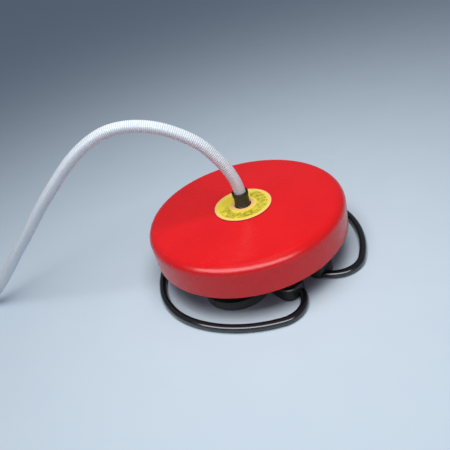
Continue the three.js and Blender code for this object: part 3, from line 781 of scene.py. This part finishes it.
def screw_mesh(head, height, shank, length):
    """Points and faces of a pan-head screw along Z, its head above the origin, with a
    pressed cross in it."""
    slot_half, slot_reach = head * 0.13, head * 0.55
    outline = [[0, -length], [shank * 0.5, -length], [shank, -length + shank]]
    for i in range(int((length - shank - 0.6) / THREAD_PITCH)):
        z = -length + shank + THREAD_PITCH * i
        outline += [[shank, z], [shank - THREAD_DEPTH, z + THREAD_PITCH / 2]]
    outline += [[shank, -0.3], [shank, 0], [head, 0], [head, height * 0.35]]
    for degrees in (20, 40, 60, 75):
        x, z = around(1, math.radians(degrees))
        outline.append([head * (0.45 + 0.55 * x), height * (0.35 + 0.65 * z)])
    outline.append([0, height])
    vertices, faces = turned_mesh([Vector(p) for p in outline], segments=32)
    shown = []
    for x, y, z in vertices:
        in_cross = min(abs(x), abs(y)) <= slot_half and max(abs(x), abs(y)) <= slot_reach
        shown.append((x, y, z - height * 0.4 if in_cross and z > height * 0.8 else z))
    return shown, faces


def add_screw(node, body, size, x, y, z, head_up=False):
    """A screw with its head's flat side at a point. Most are driven up, their heads beneath."""
    vertices, faces = screw_mesh(*size)
    made = piece(f"{node}_part", vertices, faces, ZINC_PLATE, sharp=35)
    turn = Matrix.Identity(4) if head_up else Matrix.Rotation(math.pi, 4, "X")
    made.matrix_world = Matrix.Translation(Vector((x, y, z)) * MM) @ turn
    settle(made, body, "zinc_steel", node)


for side_name, side in SIDES:
    side_at = (side * SIDE_FOOT_AT[0], SIDE_FOOT_AT[1])
    rear_at = on_arm(side, REAR_FOOT_AT)
    clip_at = on_arm(side, CLIP_SCREW_AT)
    clamp_at = (side * CLAMP_SCREW_AT[0], CLAMP_SCREW_AT[1])
    side_foot, rear_foot = f"side_foot_{side_name}", f"rear_foot_{side_name}"
    add_foot(f"foot_side_{side_name}", side_foot, SIDE_FOOT_R, SIDE_FOOT_GROOVES, side_at)
    add_foot(f"foot_rear_{side_name}", rear_foot, REAR_FOOT_R, REAR_FOOT_GROOVES, rear_at)
    add_screw(f"side_foot_screw_{side_name}", "base", FOOT_SCREW, *side_at, FOOT_SCREW_Z)
    add_screw(f"rear_foot_screw_{side_name}", "base", FOOT_SCREW, *rear_at, FOOT_SCREW_Z)
    add_screw(f"rear_clip_screw_{side_name}", "base", CLIP_SCREW, *clip_at, CLIP_SCREW_Z)
    add_screw(f"front_clamp_screw_{side_name}", "base", CLAMP_SCREW, *clamp_at, CLAMP_SCREW_Z)
for index in range(4):
    ring_at = around(RING_SCREW_AT, math.pi / 4 + math.pi / 2 * index)
    lower, upper = f"ring_screw_lower_{index + 1}", f"ring_screw_upper_{index + 1}"
    add_screw(lower, "base", RING_SCREW, *ring_at, LOWER_RING_SCREW_Z, head_up=True)
    add_screw(upper, "cover", RING_SCREW, *ring_at, UPPER_RING_SCREW_Z)

# ---- CAD nodes that stay ---------------------------------------------------------------

# The material of each, and how wide its edges are rounded in millimetres.
KEPT = {
    "base_plate": (BLACK_PLASTIC, 0.5),
    "front_clamp_left": (BLACK_PLASTIC, 0.8),
    "front_clamp_right": (BLACK_PLASTIC, 0.8),
    "rear_clip_left": (BLACK_PLASTIC, 0.5),
    "rear_clip_right": (BLACK_PLASTIC, 0.5),
    "intake_grille": (BLACK_PLASTIC, 0.4),
    "intake_stem": (BLACK_PLASTIC, 0.2),
    "intake_flap": (BLACK_RUBBER, 0.15),
    "bellows_ring_lower": (BLACK_PLASTIC, 0.4),
    "bellows_ring_upper": (BLACK_PLASTIC, 0.4),
    "connector_gasket": (BLACK_RUBBER, 0.2),
    "connector_nut": (BLACK_PLASTIC, 0.5),
    "spring_cup": (ZINC_PLATE, 0.2),
    "outlet_valve_seat": (BLACK_PLASTIC, 0.2),
    "outlet_valve_disc": (BLACK_RUBBER, 0.2),
}


def dress(node, material, bevel):
    """A CAD node's own mesh, with its flat faces made whole and its edges softened."""
    kept = bpy.data.objects[node]
    kept.data.materials.clear()
    kept.data.materials.append(material)
    flat = kept.modifiers.new("flat_faces", "DECIMATE")
    flat.decimate_type = "DISSOLVE"
    flat.angle_limit = math.radians(1)
    edges = kept.modifiers.new("soft_edges", "BEVEL")
    edges.width = bevel * MM
    edges.segments = 2
    edges.limit_method = "ANGLE"
    edges.angle_limit = math.radians(40)
    edges.harden_normals = True


for kept_node, (kept_material, kept_bevel) in KEPT.items():
    dress(kept_node, kept_material, kept_bevel)

# ---- Floor and light -------------------------------------------------------------------

FLOOR_HALF = 60000
WORLD_COLOR = (0.62, 0.72, 0.88)
WORLD_STRENGTH = 0.22


def add_floor():
    """A plain matt floor, out to the horizon."""
    material = plain_look(
        "pale_floor", (0.60, 0.70, 0.80), (0.59, 0.69, 0.795),
        rough=(0.85, 0.95), grain=(200, 0.00001), Specular_IOR_Level=0.1,
    )
    corners = [(x * FLOOR_HALF, y * FLOOR_HALF, 0) for x, y in ((-1, -1), (1, -1), (1, 1), (-1, 1))]
    piece("floor", corners, [(0, 1, 2, 3)], material)


def add_light(name, at, target, size, power, color):
    """A rectangular lamp that faces its target."""
    light = bpy.data.lights.new(name, "AREA")
    light.shape = "RECTANGLE"
    light.size, light.size_y = size
    light.energy = power
    light.color = color
    made = bpy.data.objects.new(name, light)
    made.location = at
    made.rotation_euler = (Vector(target) - Vector(at)).to_track_quat("-Z", "Y").to_euler()
    bpy.context.scene.collection.objects.link(made)
    return made


def add_world():
    world = bpy.data.worlds.new("studio")
    world.use_nodes = True
    background = world.node_tree.nodes["Background"]
    background.inputs["Color"].default_value = (*WORLD_COLOR, 1)
    background.inputs["Strength"].default_value = WORLD_STRENGTH
    bpy.context.scene.world = world


def add_lights():
    """A soft lamp overhead, and a long low one that only makes the highlights."""
    key = add_light(
        "key", at=(-0.12, -0.20, 0.95), target=(0, -0.02, 0.08),
        size=(0.7, 0.7), power=9.6, color=(1, 0.98, 0.95),
    )
    key.visible_glossy = False
    gloss = add_light(
        "gloss", at=(-0.649, -0.982, 0.896), target=(0.157, -0.483, 0.05),
        size=(3.1, 0.7), power=45, color=(0.93, 0.96, 1),
    )
    gloss.visible_diffuse = False


add_floor()
add_world()
add_lights()
bpy.context.scene.view_settings.view_transform = "Standard"
